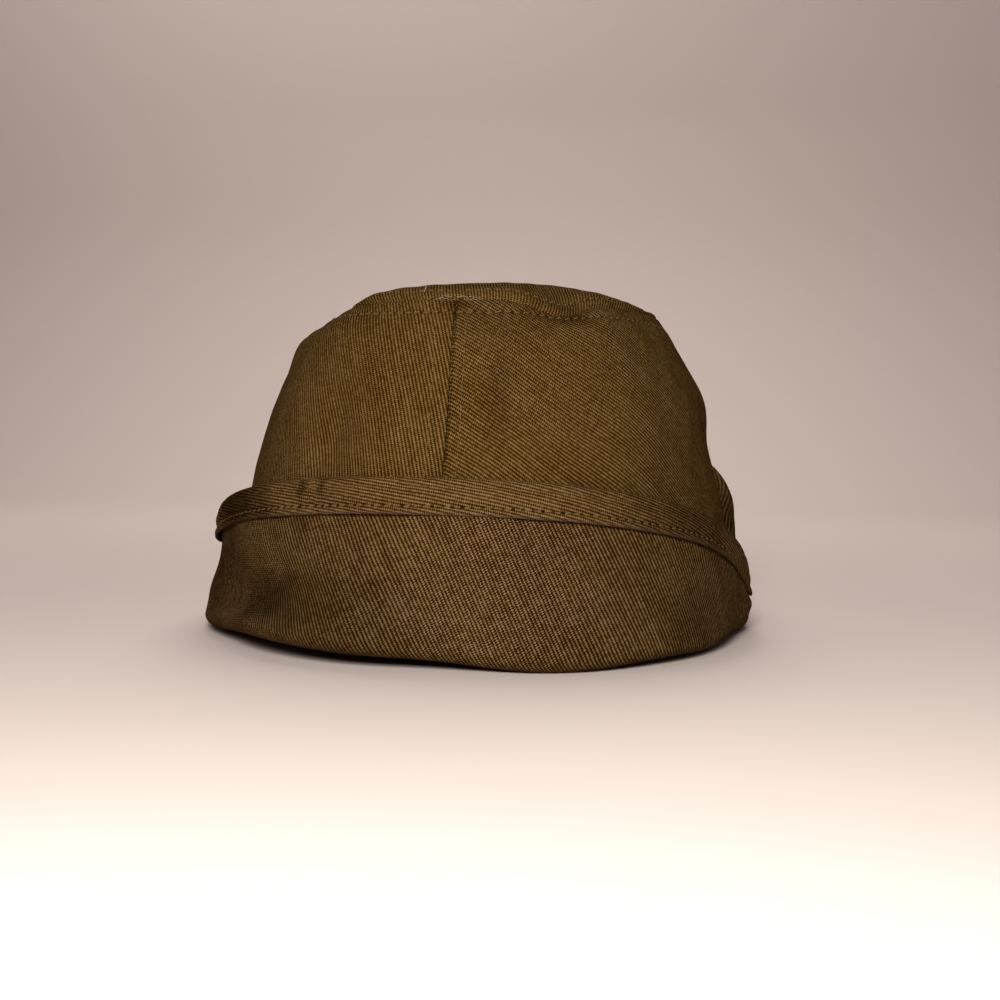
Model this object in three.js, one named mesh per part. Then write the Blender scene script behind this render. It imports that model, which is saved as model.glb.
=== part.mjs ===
// Officer cap: a soft cotton-twill field cap. Millimetres, +Z up, +Y towards the peak, standing on z = 0.
// Azimuth is in degrees around the cap: 0 at the back seam, 90 at the wearer's right, 180 at the front.
import * as THREE from 'three';

const CLOTH_WALL = 2.0;
const BAND_WALL = 1.2;
const SEAM_GAP = 0.3;
const PLY_GAP = 0.3;
const AZIMUTH_STEPS = 64;
// The shapes are worked out around the head's middle; the origin lies under the middle of the whole cap.
const ORIGIN = { x: 0.57, y: 23.01 };

// Crown wall: how far out it stands and how high it is on four sides, from its foot (level 0) to the top
// seam (level 1).
const CROWN = [
  {
    level: 0.0, left: 84, right: 87, back: 102, front: 101,
    zLeft: 0, zRight: 0, zBack: 0, zFront: 0,
  },
  {
    level: 0.4, left: 80, right: 88.3, back: 98, front: 98,
    zLeft: 46, zRight: 43, zBack: 44, zFront: 47,
  },
  {
    level: 0.62, left: 74.4, right: 82.4, back: 93.5, front: 94,
    zLeft: 69, zRight: 66, zBack: 68, zFront: 72,
  },
  {
    level: 0.8, left: 66.8, right: 79.2, back: 88.5, front: 89,
    zLeft: 88, zRight: 86, zBack: 88, zFront: 93,
  },
  {
    level: 0.92, left: 59.6, right: 69.5, back: 83.5, front: 84,
    zLeft: 102, zRight: 102.5, zBack: 103, zFront: 108,
  },
  {
    level: 1.0, left: 45, right: 63.5, back: 77, front: 77,
    zLeft: 103.5, zRight: 110.5, zBack: 112.5, zFront: 117,
  },
];
const CROWN_LEVELS = [0, 0.14, 0.28, 0.42, 0.56, 0.68, 0.79, 0.87, 0.94, 1];
// Above 2 the plan oval is a little squarer than an ellipse.
const OVAL_POWER = 2.25;
// Soft folds pressed into the crown wall (a negative depth stands out); lean is the drift in azimuth per unit
// of level.
const CROWN_FOLDS = [
  { azimuth: -24, level: 0.6, across: 6, tall: 0.16, lean: 0, depth: 2.4 },
  { azimuth: -12, level: 0.6, across: 7, tall: 0.2, lean: 0, depth: -1.2 },
  { azimuth: 9, level: 0.68, across: 6, tall: 0.14, lean: 60, depth: 1.8 },
  { azimuth: 150, level: 0.7, across: 14, tall: 0.2, lean: 20, depth: 1.6 },
  { azimuth: -142, level: 0.66, across: 12, tall: 0.2, lean: -20, depth: 1.6 },
];
// Where the top seam sags: centre, half-width in degrees, drop at the seam, the level where the sag starts.
const SEAM_SAG = { azimuth: 24.5, across: 8, drop: 4.5, from: 0.75 };

// Top panel: its middle, the slope of its plane (mm per mm) and how much it domes above that plane.
const TOP = { x: 16, y: 2, z: 118, slopeX: -0.01, slopeY: 0.06, dome: 6 };
const TOP_SHARES = [1, 0.84, 0.62, 0.38, 0.16];

// Flap: height of its top edge, its gap to the crown there, how far the bottom fold reaches beyond the
// crown's foot, how far the wall is drawn in (a negative waist bulges), how far the band's lip stands off.
const FLAP = [
  { azimuth: -180, height: 54, gap: 2.6, reach: 12, waist: 0, flare: 0.4 },
  { azimuth: -130, height: 52, gap: 4, reach: 12, waist: 0.5, flare: 0.4 },
  { azimuth: -95, height: 36.4, gap: 8, reach: 13.3, waist: 1.4, flare: 3 },
  { azimuth: -70, height: 41.2, gap: 7.2, reach: 11.6, waist: 2.4, flare: 1.6 },
  { azimuth: -50, height: 47.8, gap: 5, reach: 10, waist: 2.4, flare: 0.6 },
  { azimuth: -30, height: 52.5, gap: 3.2, reach: 13.8, waist: 0, flare: 0.4 },
  { azimuth: 0, height: 54.5, gap: 2.6, reach: 11, waist: -1, flare: 0.4 },
  { azimuth: 30, height: 50.8, gap: 2.6, reach: 14.5, waist: -1, flare: 0.4 },
  { azimuth: 55, height: 41, gap: 3.4, reach: 10.6, waist: 0, flare: 0.6 },
  { azimuth: 70, height: 30, gap: 4.8, reach: 9.4, waist: 0.2, flare: 0.8 },
  { azimuth: 82, height: 22, gap: 4.8, reach: 10.8, waist: -0.9, flare: 0.4 },
  { azimuth: 90, height: 21, gap: 3.6, reach: 11.6, waist: -1, flare: 0.4 },
  { azimuth: 98.5, height: 25.5, gap: 2.6, reach: 11.2, waist: -1, flare: 0.4 },
  { azimuth: 105, height: 38, gap: 2.6, reach: 10.8, waist: -1, flare: 0.4 },
  { azimuth: 110, height: 48, gap: 4.6, reach: 10.8, waist: -1, flare: 0.4 },
  { azimuth: 115, height: 54.5, gap: 4.2, reach: 10.8, waist: -1, flare: 0.4 },
  { azimuth: 127, height: 57, gap: 3.4, reach: 11, waist: -0.6, flare: 0.4 },
  { azimuth: 145, height: 55, gap: 2.6, reach: 12, waist: 0, flare: 0.4 },
];
// Hollows pressed into the flap's wall: centre azimuth and share of the way up, half-widths, depth (a
// negative depth stands out).
const FLAP_FOLDS = [
  { azimuth: -37, up: 0.22, across: 16, tall: 0.24, depth: 7 },
  { azimuth: -17, up: 0.72, across: 6, tall: 0.16, depth: 1 },
  { azimuth: -88, up: 0.27, across: 20, tall: 0.28, depth: -3.2 },
];
const FOLD_RADIUS = 4.5;
const FOLD_STEPS = 4;
const WALL_UPS = [0, 0.18, 0.36, 0.54, 0.72, 0.87, 1];
// Where the bottom fold stands clear of the surface under it: centre, half-width in degrees, rise.
const LIFTS = [
  { azimuth: -32, half: 50, rise: 5.2 },
  { azimuth: 0, half: 18, rise: 1.4 },
  { azimuth: 36, half: 18, rise: 2 },
  { azimuth: 64, half: 32, rise: 2.4 },
  { azimuth: 180, half: 72, rise: 16 },
];

const BAND_HEIGHT = 9.4;
const BAND_RISE = 1;
const BAND_INNER_LEG = 4;
const RIM_DROP = 0.5;

// Peak: half-span in degrees, length from its root at the middle and at the ends, how much of its direction
// is straight ahead rather than outward, thickness, and clearance under its edge.
const PEAK = { halfSpan: 50, length: 60, endLength: 6, ahead: 0.6, wall: 2.4, clearance: 0.4, inset: 2 };
const PEAK_DROOP = 1.25;
const PEAK_TAPER = 0.75;
const PEAK_STEPS = 18;
const PEAK_SHARES = [0, 0.2, 0.4, 0.6, 0.8, 1];

// Smooth curve through the rows' values of one column, with each row's slope taken from its two neighbours.
function along(rows, key, column, at, turn = 0) {
  const xs = rows.map((row) => row[key]);
  const ys = rows.map((row) => row[column]);
  if (turn) {
    xs.unshift(xs.at(-1) - turn);
    ys.unshift(ys.at(-1));
    xs.push(xs[1] + turn, xs[2] + turn);
    ys.push(ys[1], ys[2]);
    at = at >= xs[1] + turn ? at - turn : at;
  }
  const last = xs.length - 1;
  let i = 0;
  while (i < last - 1 && xs[i + 1] <= at) i += 1;
  const rise = (k) => (ys[k + 1] - ys[k]) / (xs[k + 1] - xs[k]);
  const slope = (k) => {
    if (k === 0) return rise(0);
    if (k === last) return rise(last - 1);
    const before = xs[k] - xs[k - 1];
    const after = xs[k + 1] - xs[k];
    return (rise(k) * before + rise(k - 1) * after) / (before + after);
  };
  const step = xs[i + 1] - xs[i];
  const f = Math.min(Math.max((at - xs[i]) / step, 0), 1);
  return (
    ys[i] * (1 + 2 * f) * (1 - f) ** 2 +
    slope(i) * step * f * (1 - f) ** 2 +
    ys[i + 1] * f * f * (3 - 2 * f) -
    slope(i + 1) * step * f * f * (1 - f)
  );
}

const radians = THREE.MathUtils.degToRad;
const apart = (a, b) => THREE.MathUtils.euclideanModulo(a - b + 180, 360) - 180;
const bell = (distance, width) => Math.exp(-((distance / width) ** 2));
const outward = (azimuth) => new THREE.Vector3(Math.sin(radians(azimuth)), -Math.cos(radians(azimuth)), 0);

// Height of the bottom fold above the surface it rests on.
function liftAt(azimuth) {
  return LIFTS.reduce((sum, { azimuth: middle, half, rise }) => {
    const share = Math.min(Math.abs(apart(azimuth, middle)) / half, 1);
    return sum + rise * Math.cos((share * Math.PI) / 2) ** 2;
  }, 0);
}

// Outer face of the crown wall: a squarish oval with its own reach on the four sides, less the folds.
function crownAt(azimuth, level) {
  const s = Math.sin(radians(azimuth));
  const c = Math.cos(radians(azimuth));
  const col = (name) => along(CROWN, 'level', name, level);
  const left = col('left');
  const right = col('right');
  const back = col('back');
  const front = col('front');
  const sideShare = (Math.abs(s) / ((left + right) / 2)) ** OVAL_POWER;
  const endShare = (Math.abs(c) / ((back + front) / 2)) ** OVAL_POWER;
  const reach = (sideShare + endShare) ** (-1 / OVAL_POWER);
  const pressed = CROWN_FOLDS.reduce((sum, fold) => {
    const middle = fold.azimuth + fold.lean * (level - fold.level);
    return sum + fold.depth * bell(apart(azimuth, middle), fold.across) * bell(level - fold.level, fold.tall);
  }, 0);
  const sag = Math.max((level - SEAM_SAG.from) / (1 - SEAM_SAG.from), 0) ** 2;
  const foot = (liftAt(azimuth) + CLOTH_WALL + PLY_GAP) * (1 - level) ** 4;
  const z =
    c * c * (c > 0 ? col('zBack') : col('zFront')) +
    s * s * (s > 0 ? col('zRight') : col('zLeft')) -
    SEAM_SAG.drop * bell(apart(azimuth, SEAM_SAG.azimuth), SEAM_SAG.across) * sag;
  return new THREE.Vector3(
    (reach - pressed) * s + ((right - left) / 2) * s * s,
    -(reach - pressed) * c + ((front - back) / 2) * c * c,
    z + foot,
  );
}

// Top panel from the seam (share 1) to its middle (share 0): the seam's waves fade out into a shallow dome.
function topAt(azimuth, share) {
  const seam = crownAt(azimuth, 1);
  const plane = (x, y) => TOP.z + (x - TOP.x) * TOP.slopeX + (y - TOP.y) * TOP.slopeY;
  const x = TOP.x + (seam.x - TOP.x) * share;
  const y = TOP.y + (seam.y - TOP.y) * share;
  const wave = (seam.z - plane(seam.x, seam.y)) * share ** 3;
  return new THREE.Vector3(x, y, plane(x, y) + wave + TOP.dome * (1 - share ** 2));
}

// Unit normal of a surface given by a function of two numbers, from small steps in each.
function normalOf(surface, a, b, stepA, stepB) {
  const acrossA = surface(a + stepA, b).sub(surface(a - stepA, b));
  const acrossB = surface(a, b + stepB).sub(surface(a, b - stepB));
  return acrossA.cross(acrossB).normalize();
}

// Level at which the crown's back wall is that high.
function levelAtHeight(height) {
  let low = 0;
  let high = 1;
  for (let k = 0; k < 24; k += 1) {
    const middle = (low + high) / 2;
    if (along(CROWN, 'level', 'zBack', middle) < height) low = middle;
    else high = middle;
  }
  return low;
}

// Outer face of the turned-up flap, from the top of its bottom fold (up 0) to its top edge (up 1).
function flapAt(azimuth, up) {
  const col = (name) => along(FLAP, 'azimuth', name, azimuth, 360);
  const out = outward(azimuth);
  const lean = Math.max(up, 0) ** 1.1;
  const pressed = FLAP_FOLDS.reduce((sum, { azimuth: middle, across, tall, depth, up: height }) => {
    return sum + depth * bell(apart(azimuth, middle), across) * bell(up - height, tall);
  }, col('waist') * Math.sin(Math.PI * up));
  const fold = crownAt(azimuth, 0).addScaledVector(out, col('reach'));
  const rim = crownAt(azimuth, levelAtHeight(col('height'))).addScaledVector(out, col('gap') + CLOTH_WALL);
  const foot = liftAt(azimuth) + FOLD_RADIUS;
  const point = fold.lerp(rim, lean).addScaledVector(out, -pressed);
  point.z = foot + (col('height') - RIM_DROP - foot) * up;
  return point;
}

// A closed cloth piece from two matching grids of points, one for each face: rows run round the cap, columns
// across it. A loop joins its last row to its first; with tips, the last column closes on one point per face.
function clothPiece(name, color, face, back, { loop = false, tips = null } = {}) {
  const rows = face.length;
  const columns = face[0].length;
  const points = [...face.flat(), ...back.flat(), ...(tips ?? [])];
  const index = [];
  const faceId = (i, j) => (i % rows) * columns + j;
  const backId = (i, j) => rows * columns + faceId(i, j);
  const quad = (a, b, c, d) => index.push(a, b, c, a, c, d);
  const spans = loop ? rows : rows - 1;
  for (let i = 0; i < spans; i += 1) {
    for (let j = 0; j < columns - 1; j += 1) {
      quad(faceId(i, j), faceId(i + 1, j), faceId(i + 1, j + 1), faceId(i, j + 1));
      quad(backId(i, j), backId(i, j + 1), backId(i + 1, j + 1), backId(i + 1, j));
    }
    quad(faceId(i, 0), backId(i, 0), backId(i + 1, 0), faceId(i + 1, 0));
    const end = columns - 1;
    if (tips) {
      index.push(faceId(i, end), faceId(i + 1, end), points.length - 2);
      index.push(backId(i + 1, end), backId(i, end), points.length - 1);
    } else {
      quad(faceId(i, end), faceId(i + 1, end), backId(i + 1, end), backId(i, end));
    }
  }
  if (!loop) {
    for (let j = 0; j < columns - 1; j += 1) {
      quad(faceId(0, j), faceId(0, j + 1), backId(0, j + 1), backId(0, j));
      quad(faceId(rows - 1, j), backId(rows - 1, j), backId(rows - 1, j + 1), faceId(rows - 1, j + 1));
    }
  }
  const geometry = new THREE.BufferGeometry().setFromPoints(points).setIndex(index);
  geometry.computeVertexNormals();
  const material = new THREE.MeshStandardMaterial({ color, roughness: 0.95, metalness: 0 });
  const mesh = new THREE.Mesh(geometry, material);
  mesh.name = name;
  return mesh;
}

const steps = (count) => Array.from({ length: count }, (_, i) => i);
const STEP_A = 0.5;
const STEP_B = 0.004;

// The crown and top walls meet on a mitre: both inner edges lie on the line that halves their angle.
function mitreAt(azimuth) {
  const wall = normalOf(crownAt, azimuth, 1 - STEP_B, STEP_A, STEP_B);
  const top = normalOf(topAt, azimuth, 1 - STEP_B, -STEP_A, STEP_B);
  const halving = wall.clone().add(top).normalize();
  return crownAt(azimuth, 1).addScaledVector(halving, -CLOTH_WALL / halving.dot(wall));
}

// One half of the crown wall, from the back seam to the front seam on one side (1 the right, -1 the left).
function crownPanel(name, side, color) {
  const half = AZIMUTH_STEPS / 2;
  const face = [];
  const back = [];
  for (const i of steps(half + 1)) {
    const azimuth = (side > 0 ? i : i - half) * (180 / half);
    const outer = CROWN_LEVELS.map((level) => crownAt(azimuth, level));
    const inner = CROWN_LEVELS.map((level, j) =>
      level === 1
        ? mitreAt(azimuth)
        : outer[j].clone().addScaledVector(normalOf(crownAt, azimuth, level, STEP_A, STEP_B), -CLOTH_WALL),
    );
    const last = CROWN_LEVELS.length - 1;
    const down = outer[last - 1].clone().sub(outer[last]).setLength(SEAM_GAP / 2);
    outer[last].add(down);
    inner[last].add(down);
    inner[0].z = outer[0].z;
    if (i === 0 || i === half) {
      for (const point of [...outer, ...inner]) point.x = (side * SEAM_GAP) / 2;
    }
    face.push(outer);
    back.push(inner);
  }
  return clothPiece(name, color, face, back);
}

function crownTop(color) {
  const face = [];
  const back = [];
  for (const i of steps(AZIMUTH_STEPS)) {
    const azimuth = (i * 360) / AZIMUTH_STEPS;
    const outer = TOP_SHARES.map((share) => topAt(azimuth, share));
    const inner = TOP_SHARES.map((share, j) =>
      share === 1
        ? mitreAt(azimuth)
        : outer[j].clone().addScaledVector(normalOf(topAt, azimuth, share, -STEP_A, STEP_B), -CLOTH_WALL),
    );
    const inwards = outer[1].clone().sub(outer[0]).setLength(SEAM_GAP / 2);
    outer[0].add(inwards);
    inner[0].add(inwards);
    face.push(outer);
    back.push(inner);
  }
  const middle = topAt(0, 0);
  const tips = [middle, middle.clone().setZ(middle.z - CLOTH_WALL)];
  return clothPiece('crown_top', color, face, back, { loop: true, tips });
}

// The flap's cloth in section: flat under the crown's foot, round the bottom fold, then up the wall.
function flap(color) {
  const face = [];
  const back = [];
  for (const i of steps(AZIMUTH_STEPS)) {
    const azimuth = (i * 360) / AZIMUTH_STEPS;
    const out = outward(azimuth);
    const lift = liftAt(azimuth);
    const foot = crownAt(azimuth, 0).addScaledVector(out, -CLOTH_WALL).setZ(lift);
    const turn = flapAt(azimuth, 0).addScaledVector(out, -FOLD_RADIUS);
    const outer = [foot];
    const inner = [foot.clone().setZ(lift + CLOTH_WALL)];
    for (const k of steps(FOLD_STEPS)) {
      const angle = (k * Math.PI) / 2 / FOLD_STEPS;
      for (const [line, radius] of [
        [outer, FOLD_RADIUS],
        [inner, FOLD_RADIUS - CLOTH_WALL],
      ]) {
        const point = turn.clone().addScaledVector(out, radius * Math.sin(angle));
        line.push(point.setZ(turn.z - radius * Math.cos(angle)));
      }
    }
    for (const up of WALL_UPS) {
      outer.push(flapAt(azimuth, up));
      inner.push(flapAt(azimuth, up).addScaledVector(out, -CLOTH_WALL));
    }
    face.push(outer);
    back.push(inner);
  }
  return clothPiece('flap', color, face, back, { loop: true });
}

// The facing band in section: an outer leg with its lower lip standing off the flap, over the top edge,
// then a short inner leg.
function flapBand(color) {
  const face = [];
  const back = [];
  for (const i of steps(AZIMUTH_STEPS)) {
    const azimuth = (i * 360) / AZIMUTH_STEPS;
    const out = outward(azimuth);
    const col = (name) => along(FLAP, 'azimuth', name, azimuth, 360);
    const wallHeight = col('height') - RIM_DROP - liftAt(azimuth) - FOLD_RADIUS;
    const leg = (drop, distance) => flapAt(azimuth, 1 - drop / wallHeight).addScaledVector(out, distance);
    const topZ = col('height') + BAND_RISE;
    const drop = BAND_HEIGHT - BAND_RISE - RIM_DROP;
    const lip = leg(drop, PLY_GAP + col('flare'));
    const outerMiddle = leg(drop / 2, PLY_GAP);
    const outerTop = leg(0, PLY_GAP);
    const innerTop = leg(0, -CLOTH_WALL - PLY_GAP);
    const innerEnd = leg(BAND_INNER_LEG, -CLOTH_WALL - PLY_GAP);
    back.push([lip, outerMiddle, outerTop.setZ(topZ - BAND_WALL), innerTop.setZ(topZ - BAND_WALL), innerEnd]);
    face.push([
      lip.clone().addScaledVector(out, BAND_WALL),
      outerMiddle.clone().addScaledVector(out, BAND_WALL),
      outerTop.clone().addScaledVector(out, BAND_WALL).setZ(topZ),
      innerTop.clone().addScaledVector(out, -BAND_WALL).setZ(topZ),
      innerEnd.clone().addScaledVector(out, -BAND_WALL),
    ]);
  }
  return clothPiece('flap_band', color, face, back, { loop: true });
}

// The peak runs forward from under the flap's fold and droops until its edge all but rests beside the fold.
function peak(color) {
  const face = [];
  const back = [];
  for (const i of steps(PEAK_STEPS + 1)) {
    const turn = 1 - (i / PEAK_STEPS) * 2;
    const azimuth = 180 + turn * PEAK.halfSpan;
    const out = outward(azimuth);
    const ahead = out.clone().lerp(new THREE.Vector3(0, 1, 0), PEAK.ahead).normalize();
    const root = crownAt(azimuth, 0).addScaledVector(out, -PEAK.inset);
    const rootZ = liftAt(azimuth) - PLY_GAP;
    const edgeZ = PEAK.clearance + PEAK.wall;
    const length = PEAK.endLength + (PEAK.length - PEAK.endLength) * (1 - turn * turn) ** PEAK_TAPER;
    const line = PEAK_SHARES.map((share) => {
      const z = rootZ + (edgeZ - rootZ) * share ** PEAK_DROOP;
      return root.clone().addScaledVector(ahead, length * share).setZ(z);
    });
    face.push(line);
    back.push(line.map((point) => point.clone().setZ(point.z - PEAK.wall)));
  }
  return clothPiece('peak', color, face, back);
}

const CROWN_BROWN = '#5b401f';
const TOP_BROWN = '#574020';
const FLAP_BROWN = '#5a3f22';
const BAND_BROWN = '#624729';

const group = new THREE.Group();
group.name = 'officer_cap';
group.position.set(-ORIGIN.x, -ORIGIN.y, 0);
group.add(
  crownTop(TOP_BROWN),
  crownPanel('crown_left', -1, CROWN_BROWN),
  crownPanel('crown_right', 1, CROWN_BROWN),
  flap(FLAP_BROWN),
  flapBand(BAND_BROWN),
  peak(FLAP_BROWN),
);

export default group;
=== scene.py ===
import bpy
import numpy as np
from mathutils import Matrix


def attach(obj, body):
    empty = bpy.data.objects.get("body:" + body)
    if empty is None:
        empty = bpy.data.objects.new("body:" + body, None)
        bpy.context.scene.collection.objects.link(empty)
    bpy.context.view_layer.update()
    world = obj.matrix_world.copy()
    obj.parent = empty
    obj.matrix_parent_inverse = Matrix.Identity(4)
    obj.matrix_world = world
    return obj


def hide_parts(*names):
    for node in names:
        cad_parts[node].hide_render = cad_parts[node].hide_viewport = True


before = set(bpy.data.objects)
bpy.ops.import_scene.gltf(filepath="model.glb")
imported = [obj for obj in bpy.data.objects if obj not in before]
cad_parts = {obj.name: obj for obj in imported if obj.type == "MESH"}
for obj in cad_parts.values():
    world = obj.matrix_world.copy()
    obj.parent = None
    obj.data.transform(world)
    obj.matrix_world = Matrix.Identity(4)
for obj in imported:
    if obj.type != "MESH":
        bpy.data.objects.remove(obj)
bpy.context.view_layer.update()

# The view is from behind the cap, a little to its right and at about half its height, half a metre off, with a
# 50 mm lens on a 36 mm frame. Sizes in this file are millimetres around the middle of the head.
HEAD_MIDDLE = np.array([-0.57, -23.01, 0.0])
EYE_AZIMUTH = 6.3
EYE_DISTANCE = 512.0
EYE_HEIGHT = 71.3
LENS = 50.0
FILM = 36.0
TIP_DOWN = 2.96
PAN = 0.825
LEAN = 0.65


def metres(points):
    """Millimetres around the middle of the head to metres in the row frame."""
    return (points + HEAD_MIDDLE) / 1000.0


def eye_axes(azimuth, tip_down, pan, lean):
    """Right, up and backward directions: level towards the head, panned aside, tipped down, then leaned about the
    sight line."""
    a, p, t, q = np.radians([azimuth, pan, tip_down, lean])
    level_right = np.array([np.cos(a), np.sin(a), 0.0])
    level_ahead = np.array([-np.sin(a), np.cos(a), 0.0])
    right = level_right * np.cos(p) - level_ahead * np.sin(p)
    ahead = level_ahead * np.cos(p) + level_right * np.sin(p)
    sight = ahead * np.cos(t) - np.array([0.0, 0.0, 1.0]) * np.sin(t)
    up = np.array([0.0, 0.0, 1.0]) * np.cos(t) + ahead * np.sin(t)
    return right * np.cos(q) + up * np.sin(q), up * np.cos(q) - right * np.sin(q), -sight


eye = bpy.data.objects.new("eye", bpy.data.cameras.new("eye"))
eye.data.lens = LENS
eye.data.sensor_width = FILM
eye.data.clip_start = 0.01
eye_place = metres(np.array([np.sin(np.radians(EYE_AZIMUTH)), -np.cos(np.radians(EYE_AZIMUTH)), 0.0]) * EYE_DISTANCE
                   + np.array([0.0, 0.0, EYE_HEIGHT]))
eye_matrix = np.eye(4)
eye_matrix[:3, :3] = np.array(eye_axes(EYE_AZIMUTH, TIP_DOWN, PAN, LEAN)).T
eye_matrix[:3, 3] = eye_place
eye.matrix_world = Matrix(eye_matrix.tolist())
bpy.context.scene.collection.objects.link(eye)
bpy.context.scene.camera = eye


# The two side panels of the crown: olive-brown cotton twill, cut as mirror images and joined at the back and the
# front. The left panel's folded edge laps over the right one, and a row of stitches on each side holds it flat.
CROWN_COLUMNS = ("level", "left", "right", "back", "front", "z_left", "z_right", "z_back", "z_front")
CROWN = [dict(zip(CROWN_COLUMNS, row)) for row in (
    (0.00, 84, 87, 102, 101, 0, 0, 0, 0),
    (0.40, 80, 88.3, 98, 98, 46, 43, 44, 47),
    (0.62, 74.4, 82.4, 93.5, 94, 69, 66, 68, 72),
    (0.80, 66.8, 79.2, 88.5, 89, 88, 86, 88, 93),
    (0.92, 59.6, 69.5, 83.5, 84, 102, 102.5, 103, 108),
    (1.00, 45, 63.5, 77, 77, 103.5, 110.5, 112.5, 117),
)]
OVAL_POWER = 2.25
CROWN_FOLDS = [
    dict(azimuth=-24, level=0.60, across=6, tall=0.16, lean=0, depth=2.4),
    dict(azimuth=-12, level=0.60, across=7, tall=0.20, lean=0, depth=-1.2),
    dict(azimuth=9, level=0.68, across=6, tall=0.14, lean=60, depth=1.8),
    dict(azimuth=150, level=0.70, across=14, tall=0.20, lean=20, depth=1.6),
    dict(azimuth=-142, level=0.66, across=12, tall=0.20, lean=-20, depth=1.6),
]
SEAM_SAG = dict(azimuth=24.5, across=8, drop=4.5, start=0.75)
LIFTS = [
    dict(azimuth=-32, half=50, rise=5.2),
    dict(azimuth=0, half=18, rise=1.4),
    dict(azimuth=36, half=18, rise=2),
    dict(azimuth=64, half=32, rise=2.4),
    dict(azimuth=180, half=72, rise=16),
]
CLOTH_WALL = 2.0
PLY_GAP = 0.3
PANEL_COLUMNS = 300
PANEL_ROWS = 110
PANEL_CROWDING = 0.8
LAP = 0.9
LAP_WALL = 0.9
HALF_ROUND = (45.0, 90.0, 135.0)
THREAD_STEP = 3.0
SEAM_ROW = 4.2
CROWN_ROW = dict(below=6.3, rise=3.6, across=9)
SEAM_SKEW = dict(top=-0.75, foot=-7.2, across=40)
CROWN_ANGLE = dict(left=-75.5, right=-26.0)
CROWN_CURVE = dict(left=431.0, right=280.0)
CROWN_TURN = dict(left=0.68, right=1.2)
CROWN_WALE = 1.10
CROWN_PICK = 0.62
CROWN_CONTRAST = 0.95
CROWN_HOLES = 0.68
TWILL_DARK = (0.0040, 0.0010, 0.0)
TWILL_DEEP = (0.0255, 0.0071, 0.0)
CROWN_BROWN = (0.0545, 0.0250, 0.0012)
TWILL_LIGHT = (0.178, 0.119, 0.056)
TWILL_BUMP = dict(strength=0.5, depth=0.00035)
NEEDLE_HOLE = dict(aside=(0.3, 0.95), ahead=(0.09, 0.27), depth=1.4)
# Painted sheen: the grey of the band's lower lip where light catches its rounded edge.
LIP_SHEEN_GREY = (0.050, 0.030, 0.017)


def along(rows, key, column, at, turn=None):
    """A column's value at each place, on a smooth curve through the rows: cubic spans, with slopes from their
    neighbours; a turn joins the last row to the first."""
    x = np.array([row[key] for row in rows], float)
    y = np.array([row[column] for row in rows], float)
    at = np.asarray(at, float)
    if turn:
        at = np.mod(at - x[0], turn) + x[0]
        x = np.concatenate([[x[-1] - turn], x, [x[0] + turn, x[1] + turn]])
        y = np.concatenate([[y[-1]], y, [y[0], y[1]]])
    step = np.diff(x)
    rise = np.diff(y) / step
    inner = (rise[1:] * step[:-1] + rise[:-1] * step[1:]) / (step[1:] + step[:-1])
    slope = np.concatenate([[rise[0]], inner, [rise[-1]]])
    i = np.clip(np.searchsorted(x, at, side="right") - 1, 0, len(step) - 1)
    f = np.clip((at - x[i]) / step[i], 0, 1)
    return (y[i] * (1 + 2 * f) * (1 - f) ** 2 + slope[i] * step[i] * f * (1 - f) ** 2
            + y[i + 1] * f * f * (3 - 2 * f) - slope[i + 1] * step[i] * f * f * (1 - f))


def apart(a, b):
    """One azimuth less another, wrapped to half a turn either way."""
    return np.mod(a - b + 180, 360) - 180


def bell(distance, width):
    """One at the middle, falling away as a bell on both sides."""
    return np.exp(-(distance / width) ** 2)


def outward(azimuth):
    """Level unit vectors away from the head: the sine along x, minus the cosine along y."""
    a = np.radians(azimuth)
    return np.stack([np.sin(a), -np.cos(a), np.zeros_like(a)], -1)


def lift_at(azimuth):
    """How far the bottom fold stands clear of the floor: the sum of squared-cosine humps."""
    return sum(row["rise"] * np.cos(np.clip(apart(azimuth, row["azimuth"]) / row["half"], -1, 1) * np.pi / 2) ** 2
               for row in LIFTS)


def crown_at(azimuth, level):
    """Outer face of the crown: a squarish oval with its own reach and height on four sides at each level, less the
    folds' bells, dropped where the top seam sags and raised at its foot where the bottom fold is raised."""
    a = np.radians(azimuth)
    s, c = np.sin(a), np.cos(a)
    at = {name: along(CROWN, "level", name, level) for name in CROWN_COLUMNS[1:]}
    half_x = (at["left"] + at["right"]) / 2
    half_y = (at["back"] + at["front"]) / 2
    reach = ((np.abs(s) / half_x) ** OVAL_POWER + (np.abs(c) / half_y) ** OVAL_POWER) ** (-1 / OVAL_POWER)
    for fold in CROWN_FOLDS:
        off = apart(azimuth, fold["azimuth"] + fold["lean"] * (level - fold["level"]))
        reach = reach - fold["depth"] * bell(off, fold["across"]) * bell(level - fold["level"], fold["tall"])
    sag = np.clip((level - SEAM_SAG["start"]) / (1 - SEAM_SAG["start"]), 0, None) ** 2
    z = (c * c * np.where(c > 0, at["z_back"], at["z_front"]) + s * s * np.where(s > 0, at["z_right"], at["z_left"])
         - SEAM_SAG["drop"] * bell(apart(azimuth, SEAM_SAG["azimuth"]), SEAM_SAG["across"]) * sag
         + (lift_at(azimuth) + CLOTH_WALL + PLY_GAP) * (1 - level) ** 4)
    x = reach * s + (at["right"] - at["left"]) / 2 * s * s
    y = -reach * c + (at["front"] - at["back"]) / 2 * c * c
    return np.stack(np.broadcast_arrays(x, y, z), -1)


def unit(vectors):
    """Vectors scaled to length one."""
    return vectors / np.maximum(np.linalg.norm(vectors, axis=-1, keepdims=True), 1e-9)


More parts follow.
